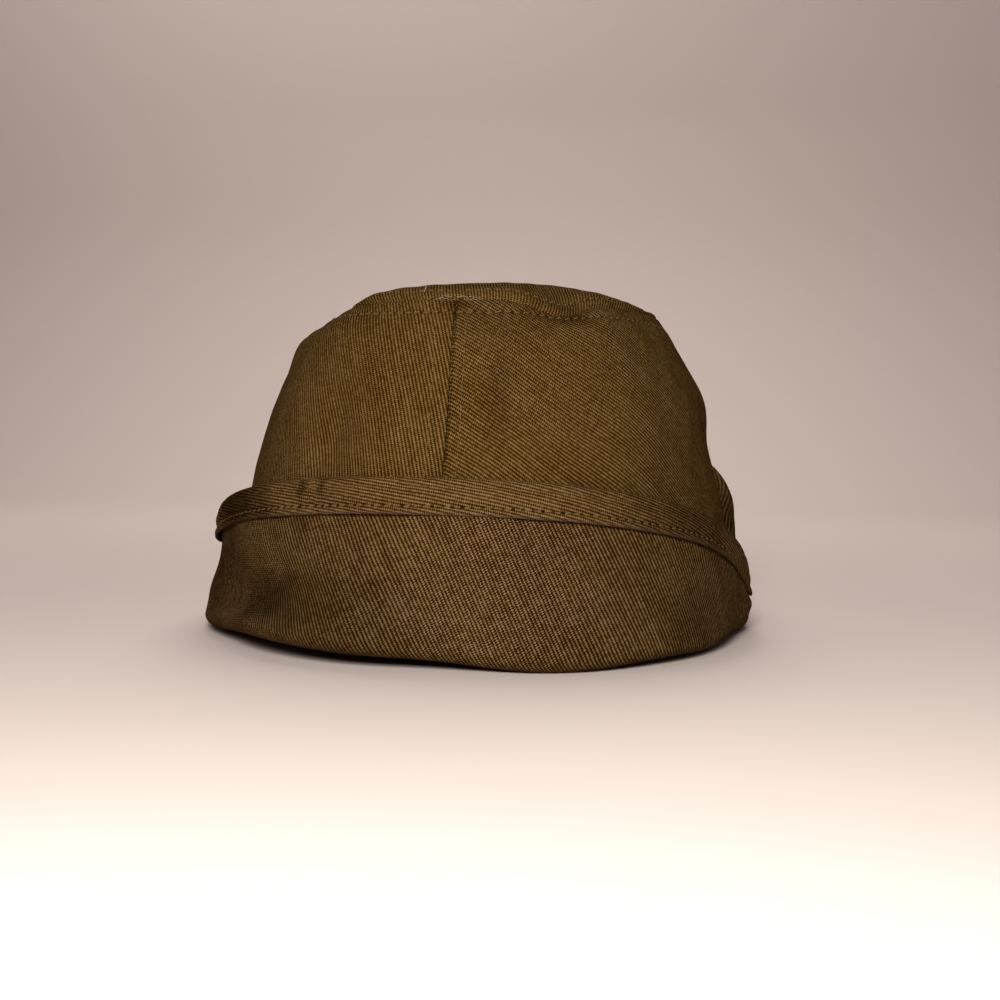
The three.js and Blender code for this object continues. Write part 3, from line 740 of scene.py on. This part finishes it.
def band_face():
    """The band's outer face in section at every azimuth: from the lower lip up the outer leg, a half circle over the
    flap's edge, and down a short inner leg. The outer leg puffs between its edges and dips at its stitches."""
    azimuth = (np.arange(BAND_TURNS) * 360.0 / BAND_TURNS - 180.0)[:, None]
    at = {name: along(FLAP, "azimuth", name, azimuth, 360) for name in ("height", "flare")}
    out = outward(azimuth)
    wall_height = at["height"] - RIM_DROP - lift_at(azimuth) - FOLD_RADIUS
    off = PLY_GAP + BAND_WALL
    tall = BAND_HEIGHT - BAND_RISE - RIM_DROP
    above_lip = np.linspace(0, 1, 22)[None, :-1] * tall
    drop = tall - above_lip
    outer = flap_at(*np.broadcast_arrays(azimuth, 1 - drop / wall_height))
    puff = (at["flare"] * (1 - above_lip / tall) ** 1.5 + 0.75 * bell(above_lip - 5.4, 2.4)
            - 0.42 * bell(above_lip - BAND_ROW, 0.7) + 0.25 * bell(above_lip - 0.9, 0.8)
            + 0.16 * ripple(azimuth * 1.7, above_lip * 0.5, 9.0, 61))
    for crease in BAND_CREASES:
        off_crease = apart(azimuth, crease["azimuth"] + CREASE_LEAN * (above_lip - 5.0))
        puff = puff - crease["depth"] * bell(off_crease, crease["across"]) * bell(above_lip - 5.0, 4.0)
    outer = outer + out * (off + puff)[..., None]
    centre = flap_at(azimuth, np.ones_like(azimuth)) - out * CLOTH_WALL / 2
    bend = np.radians(np.linspace(0, 180, 15)[None, :])
    radius = CLOTH_WALL / 2 + off
    over = centre + out * (radius * np.cos(bend))[..., None]
    over[..., 2] += radius * np.sin(bend)
    low = np.linspace(0, 1, 6)[None, 1:] * BAND_INNER_LEG
    inner = flap_at(*np.broadcast_arrays(azimuth, 1 - low / wall_height)) - out * (CLOTH_WALL + off)
    grid = np.concatenate([outer, over, inner], axis=1)
    across = lengths(closed(grid), 0)
    return grid, across - across[BAND_TURNS // 2]


band_grid, band_across = band_face()
band_up = closed(lengths(band_grid, 1))
band_count = stitch_count(column_at(band_grid, band_up[:-1], BAND_ROW), loop=True)
# Painted shade on the band: both ends where they turn away from the light, its two creases, and the gap between the
# crown and the flap at the right end.
BAND_PAINTED_SHADE = [
    (-47, 0.92, (34, 44, 16), 0.78),
    (48, 0.92, (40, 50, 24), 0.46),
    (-26.8, 0.965, (3.0, 8, 7), 0.60),
    (-22.6, 0.965, (2.8, 8, 7), 0.56),
    (106, 0.95, (12, 24, 24), 0.55),
]
band_twill = twill("band_twill", BAND_ANGLE, BAND_BROWN, BAND_WALE, BAND_PICK, FLAP_CONTRAST, BAND_ROW, BAND_LIP_SHEEN,
                   places(BAND_PAINTED_SHADE, flap_at))
band_piece = cloth("flap_band_cloth", band_grid, BAND_WALL, band_across, band_up, band_twill, loop=True,
                   run=(np.broadcast_to(band_count[:, None], band_across.shape), band_up))
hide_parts("flap_band")


# The peak: a short stiffened plate covered in the flap's twill, sewn to the crown's foot under the fold, with rows of
# stitches that follow its edge.
PEAK = dict(half_span=50, length=60, end_length=6, ahead=0.6, wall=2.4, clearance=0.4, inset=2, droop=1.25, taper=0.75)
PEAK_COLUMNS = 150
PEAK_ROWS = 60
PEAK_CONTRAST = 1.2


def peak_at(turn, share):
    """The peak's upper face: from the crown's foot outwards and ahead by a length that tapers to both ends, falling
    from under the fold to its edge just above the floor."""
    azimuth = 180 + turn * PEAK["half_span"]
    out = outward(azimuth)
    ahead = unit(out * (1 - PEAK["ahead"]) + np.array([0.0, 1.0, 0.0]) * PEAK["ahead"])
    root = crown_at(azimuth, 0 * azimuth) - out * PEAK["inset"]
    root_z = lift_at(azimuth) - PLY_GAP
    edge_z = PEAK["clearance"] + PEAK["wall"]
    length = PEAK["end_length"] + (PEAK["length"] - PEAK["end_length"]) * np.clip(1 - turn ** 2, 0, 1) ** PEAK["taper"]
    point = root + ahead * (length * share)[..., None]
    point[..., 2] = root_z + (edge_z - root_z) * share ** PEAK["droop"]
    return point


peak_turn, peak_share = np.meshgrid(np.linspace(1, -1, PEAK_COLUMNS), np.linspace(0, 1, PEAK_ROWS), indexing="ij")
peak_grid = peak_at(peak_turn, peak_share)
peak_across = lengths(peak_grid, 0)
peak_twill = twill("peak_twill", FLAP_ANGLE, FLAP_BROWN, FLAP_WALE, FLAP_PICK, PEAK_CONTRAST)
peak_piece = cloth("peak_cover", peak_grid, PEAK["wall"], peak_across, lengths(peak_grid, 1), peak_twill,
                   run=(0 * peak_across, 0 * peak_across + FAR_FROM_SEAM))
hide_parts("peak")


# The stitches: cotton thread a little lighter than the cloth, in rows of short slanted stitches that bow out of their
# groove and dive into a hole at each end.
THREAD_WIDTH = 0.38
STITCH_LENGTH = 2.35
STITCH_BOW = 0.42
STITCH_PROFILE = ((-1.0, 0.45), (-0.8, 0.85), (-0.35, 1.0), (0.35, 1.0), (0.8, 0.85), (1.0, 0.45))
THREAD_BROWN = np.array([0.135, 0.080, 0.027])
THREAD_SHADES = ((0, 0.55), (1, 1.25))
THREAD_BUMP = dict(strength=0.6, depth=0.0001)

# Two-ply thread has light and dark diagonal bands, in colour and in bump.
sewing_thread, node = blank_material("sewing_thread")
thread_place = node("ShaderNodeUVMap", uv_map="weave").outputs[0]
plies = node("ShaderNodeTexWave", thread_place, named={"Scale": 0.9, "Distortion": 1.5}, bands_direction="DIAGONAL")
plies_colour = colour_ramp(node, plies.outputs["Fac"], *((at, shade * THREAD_BROWN) for at, shade in THREAD_SHADES))
shaded(node, plies_colour, 0.8, 0.1, plies.outputs["Fac"], **THREAD_BUMP)


def stitch_row(name, line, normal, count, slot, width=THREAD_WIDTH, slant=7.0, sunk=0.2, seed=5):
    """A row of stitches along a line, one at each whole count: each is six rings of six points, thin at its ends, bowed
    outwards in the middle, slanted off the row and varied a little in length, slant and height by a seeded draw."""
    beat = np.arange(np.ceil(count[0] + 0.4), count[-1] - 0.4)
    at_count = lambda places, along_line: np.stack([np.interp(places, count, along_line[:, k]) for k in range(3)], -1)
    middle = at_count(beat, line)
    ahead = unit(at_count(beat + 0.3, line) - at_count(beat - 0.3, line))
    rise = unit(at_count(beat, normal))
    aside = unit(np.cross(rise, ahead))
    rng = np.random.default_rng(seed)
    turn = np.radians(slant + rng.normal(0, 3.5, len(beat)))[:, None]
    ahead, aside = ahead * np.cos(turn) + aside * np.sin(turn), aside * np.cos(turn) - ahead * np.sin(turn)
    half = STITCH_LENGTH / 2 * rng.uniform(0.86, 1.08, len(beat))
    proud = rng.uniform(-0.05, 0.12, len(beat))
    t, thick = np.array(STITCH_PROFILE).T
    spine = (middle[:, None] + ahead[:, None] * (half[:, None] * t)[..., None]
             + rise[:, None] * (proud[:, None] + STITCH_BOW * (1 - t ** 2) - sunk)[..., None])
    angle = np.arange(6) * np.pi / 3
    ring = aside[:, None, None] * np.cos(angle)[:, None] + rise[:, None, None] * np.sin(angle)[:, None]
    points = spine[:, :, None] + ring * (width / 2 * thick)[:, None, None]
    wall = np.roll(grid_faces(5, 6, lambda a, b: a * 6 + b % 6), -1, axis=1)
    ends = np.array([[0, 1, 2, 3, 4, 5], [35, 34, 33, 32, 31, 30]])
    base = np.arange(len(beat))[:, None, None] * 36
    wall, ends = (wall + base).reshape(-1, 4), (ends + base).reshape(-1, 6)
    place = np.stack(np.broadcast_arrays(
        (beat[:, None] * THREAD_STEP + half[:, None] * t)[:, :, None], angle[None, None, :] * 0.4), -1).reshape(-1, 2)
    piece = sewn_on(name, points, wall.tolist() + ends.tolist(),
                    {"weave": place[np.concatenate([wall.ravel(), ends.ravel()])]}, sewing_thread)


for side, seed in (("left", 71), ("right", 72)):
    grid, across, count, from_row = panels[side]
    normal = normals_of(grid, False)
    stitch_row(f"crown_{side}_top_stitches", column_at(grid[:, ::-1], from_row[:, ::-1], 0.0),
               column_at(normal[:, ::-1], from_row[:, ::-1], 0.0), count, "crown_twill", seed=seed)

SECOND_ROW = SEAM_ROW + 1.2
SECOND_THREAD = dict(width=0.3, slant=4.0, sunk=0.36)
for side, end, seed in (("right", "back", 73), ("right", "front", 74), ("left", "back", 77), ("left", "front", 78)):
    grid, across, count, from_row = panels[side]
    order = slice(None) if (side == "right") == (end == "back") else slice(None, None, -1)
    beside = np.abs(across - across[order][:1])[order].T
    line, rise, row = (column_at(part[order].swapaxes(0, 1), beside, SECOND_ROW)
                       for part in (grid, normals_of(grid, False), from_row[..., None]))
    below_row = row[:, 0] > 1
    stitch_row(f"crown_{side}_{end}_stitches", line[below_row], rise[below_row], stitch_count(line[below_row]),
               "crown_twill", seed=seed, **SECOND_THREAD)
top_normal = normals_of(top_grid, True)
stitch_row("crown_top_stitches", closed(column_at(top_grid, top_inward, SEAM_ROW)),
           closed(column_at(top_normal, top_inward, SEAM_ROW)), top_count, "top_twill", seed=75)

band_normal = normals_of(band_grid, True)
stitch_row("flap_band_stitches", closed(column_at(band_grid, band_up[:-1], BAND_ROW)),
           closed(column_at(band_normal, band_up[:-1], BAND_ROW)), band_count, "band_twill", sunk=0.3, seed=76)
PEAK_ROW_SHARES = [0.94, 0.8, 0.66, 0.52, 0.38]
PEAK_ROW_POINTS = 160
for k, share in enumerate(PEAK_ROW_SHARES):
    line = peak_at(np.linspace(0.97, -0.97, PEAK_ROW_POINTS), np.full(PEAK_ROW_POINTS, share))
    rise = np.tile([0.0, 0.0, 1.0], (PEAK_ROW_POINTS, 1))
    stitch_row(f"peak_stitches_{k + 1}", line, rise, stitch_count(line), "flap_twill", seed=80 + k, slant=3.0)


# Loose fibres: short cotton hairs rubbed up all over the cloth, frayed thread ends where the back seam meets the top
# panel, and one thread end that stands up from the top seam.
FIBRE_PALE = np.array([0.33, 0.24, 0.14])
FIBRE_SHADES = ((0, 0.5), (1, 1.3))
FIBRE_WIDTH = 0.036
FIBRE_LENGTHS = (0.5, 1.7)

# Bleached cotton is a little darker and lighter from place to place.
cotton_fibre, node = blank_material("cotton_fibre")
fibre_place = node("ShaderNodeTexCoord").outputs["Object"]
spots = node("ShaderNodeTexNoise", fibre_place, named={"Scale": 900.0}).outputs["Fac"]
shaded(node, colour_ramp(node, spots, *((at, shade * FIBRE_PALE) for at, shade in FIBRE_SHADES)), 0.9, 0.0)


def fibres(name, root, ahead, bend, width):
    """Fine tapering hairs with three sides and three rings: each runs straight ahead from its root and is carried aside
    by its bend with the square of the way along."""
    t = np.array([0.0, 0.5, 1.0])
    spine = root[:, None] + ahead[:, None] * t[None, :, None] + bend[:, None] * (t ** 2)[None, :, None]
    heading = unit(ahead[:, None] + 2 * bend[:, None] * t[None, :, None])
    aside = unit(np.cross(heading, np.array([0.31, 0.52, 0.79])))
    rise = np.cross(heading, aside)
    angle = np.arange(3) * 2 * np.pi / 3
    radius = (width / 2 * (1 - 0.6 * t))[None, :, None, None]
    ring = aside[:, :, None] * np.cos(angle)[:, None] + rise[:, :, None] * np.sin(angle)[:, None]
    points = spine[:, :, None] + ring * radius
    wall = grid_faces(2, 3, lambda a, b: a * 3 + b % 3)[:, [0, 3, 2, 1]]
    ends = np.array([[2, 1, 0], [6, 7, 8]])
    base = np.arange(len(root))[:, None, None] * 9
    faces = (wall + base).reshape(-1, 4).tolist() + (ends + base).reshape(-1, 3).tolist()
    piece = sewn_on(name, points, faces, {}, cotton_fibre)


def lint(name, grid, normal, amount, seed):
    """Short hairs at seeded random points of a face, each leaning its own way out of the cloth."""
    rng = np.random.default_rng(seed)
    i, j = rng.integers(0, len(grid), amount), rng.integers(2, grid.shape[1] - 2, amount)
    rise = normal[i, j]
    along_face = unit(np.cross(rise, rng.normal(size=(amount, 3))))
    length = rng.uniform(*FIBRE_LENGTHS, amount)[:, None]
    fibres(name, grid[i, j] - rise * 0.1, length * (0.55 * rise + 0.5 * along_face),
           length * (0.45 * unit(np.cross(rise, along_face)) - 0.3 * rise), FIBRE_WIDTH)


for side, seed in (("left", 91), ("right", 92)):
    lint(f"crown_{side}_lint", panels[side][0], normals_of(panels[side][0], False), 1300, seed)
lint("crown_top_lint", top_grid[:, :48], top_normal[:, :48], 900, 93)
lint("flap_lint", flap_grid[:, 6:], normals_of(flap_grid, True)[:, 6:], 1800, 94)
lint("flap_band_lint", band_grid[:, :32], band_normal[:, :32], 900, 95)

FRAY = dict(azimuth=1.2, half_span=4.6, ends=44, width=0.15, seed=96)
rng = np.random.default_rng(FRAY["seed"])
fray_azimuth = FRAY["azimuth"] + FRAY["half_span"] * rng.uniform(-1, 1, FRAY["ends"])
fray_out = outward(fray_azimuth)
fray_aside = np.stack([-fray_out[:, 1], fray_out[:, 0], 0 * fray_azimuth], -1)
fray_root = crown_at(fray_azimuth, rng.uniform(0.988, 0.998, FRAY["ends"])) + fray_out * 1.1
fray_reach = rng.uniform(0.5, 1.9, FRAY["ends"])[:, None]
fray_ahead = (fray_out * 0.35 + fray_aside * rng.choice([-1, 1], FRAY["ends"])[:, None] * 0.9
              + rng.normal(0, 0.2, fray_root.shape))
fray_bend = np.array([0.0, 0.0, -0.25]) + rng.normal(0, 0.2, fray_root.shape)
fibres("back_seam_fray", fray_root, fray_ahead * fray_reach, fray_bend * fray_reach, FRAY["width"])

THREAD_END = dict(azimuth=-7.5, ahead=(0.4, -0.2, 2.6), bend=(0.6, 0.0, 0.0), width=0.45)
fibres("top_thread_end", crown_at(np.array([THREAD_END["azimuth"]]), np.array([1.0])) + np.array([[0.0, 0.6, 1.2]]),
       np.array([THREAD_END["ahead"]]), np.array([THREAD_END["bend"]]), THREAD_END["width"])


# A plain pale floor that sweeps up into walls on all sides, and soft light: a broad lamp near the eye and a little to
# its left, a large one overhead, one for the wall, a dim one on the cap's far side and a dim surround.
FLOOR_AHEAD = 700.0
FLOOR_BEHIND = 1500.0
FLOOR_ASIDE = 1500.0
CORNER = 318.3
WALL_RUN = 1400.0
FLOOR_LINES = 160
FLOOR_GAP = 0.15
FLOOR_COLOUR = (0.625, 0.54, 0.515)
LAMP_TINT = (1.0, 0.96, 0.9)
LAMPS = [
    dict(name="key_lamp", place=(0.03, -0.62, 0.24), aim=(0.0, -0.05, 0.06), width=0.16, power=4.8),
    dict(name="overhead_lamp", place=(0.1, 0.8, 1.7), aim=(0.0, 0.5, 0.0), width=1.2, power=6.0),
    dict(name="wall_lamp", place=(-0.3, 0.5, 1.1), aim=(0.0, 1.2, 0.3), width=0.8, power=5.0),
    dict(name="far_lamp", place=(0.0, 0.62, 0.75), aim=(0.0, 0.05, 0.05), width=0.5, power=2.4),
]
SURROUND = dict(tint=(1.0, 0.97, 0.94, 1), strength=0.06)


def turned_up(run, level):
    """Place and height along a sheet that is level up to a length, then a quarter circle, then upright."""
    bend = np.clip((run - level) / CORNER, 0, np.pi / 2)
    upright = np.clip(run - level - CORNER * np.pi / 2, 0, None)
    return np.minimum(run, level) + CORNER * np.sin(bend), CORNER * (1 - np.cos(bend)) + upright


def sweep_at(aside, ahead):
    """Floor and walls as one sheet: turned up at both ends of both directions, the two heights added."""
    x, x_up = turned_up(np.abs(aside), FLOOR_ASIDE)
    y, y_up = turned_up(np.abs(ahead), np.where(ahead > 0, FLOOR_AHEAD, FLOOR_BEHIND))
    return np.stack([np.sign(aside) * x, np.sign(ahead) * y, x_up + y_up], -1)


far = FLOOR_ASIDE + WALL_RUN
sweep = sweep_at(*np.meshgrid(
    np.linspace(-far, far, FLOOR_LINES),
    np.linspace(-FLOOR_BEHIND - WALL_RUN, FLOOR_AHEAD + 1.6 * WALL_RUN, FLOOR_LINES), indexing="ij"))
sweep_quads = grid_faces(FLOOR_LINES - 1, FLOOR_LINES - 1, lambda a, b: a * FLOOR_LINES + b)
sweep_mesh = bpy.data.meshes.new("floor")
sweep_mesh.from_pydata(((sweep.reshape(-1, 3) - [0.0, 0.0, FLOOR_GAP]) / 1000).tolist(), [], sweep_quads.tolist())
sweep_mesh.polygons.foreach_set("use_smooth", np.ones(len(sweep_quads), bool))
pale, node = blank_material("pale_floor")
shaded(node, (*FLOOR_COLOUR, 1), 0.9, 0.1)
sweep_mesh.materials.append(pale)
floor = bpy.data.objects.new("floor", sweep_mesh)
bpy.context.scene.collection.objects.link(floor)


def lamp(name, place, aim, width, power):
    """A square area lamp at a place, turned to face its aim."""
    data = bpy.data.lights.new(name, "AREA")
    data.size = width
    data.energy = power
    data.color = LAMP_TINT
    back = unit(np.array(place, float) - np.array(aim, float))
    right = unit(np.cross([0.0, 0.0, 1.0], back))
    matrix = np.eye(4)
    matrix[:3, :3] = np.stack([right, np.cross(back, right), back], -1)
    matrix[:3, 3] = place
    made = bpy.data.objects.new(name, data)
    made.matrix_world = Matrix(matrix.tolist())
    bpy.context.scene.collection.objects.link(made)


for row in LAMPS:
    lamp(**row)
world = bpy.data.worlds.new("surround")
world.use_nodes = True
world.node_tree.nodes["Background"].inputs["Color"].default_value = SURROUND["tint"]
world.node_tree.nodes["Background"].inputs["Strength"].default_value = SURROUND["strength"]
bpy.context.scene.world = world
bpy.context.scene.view_settings.view_transform = "Standard"
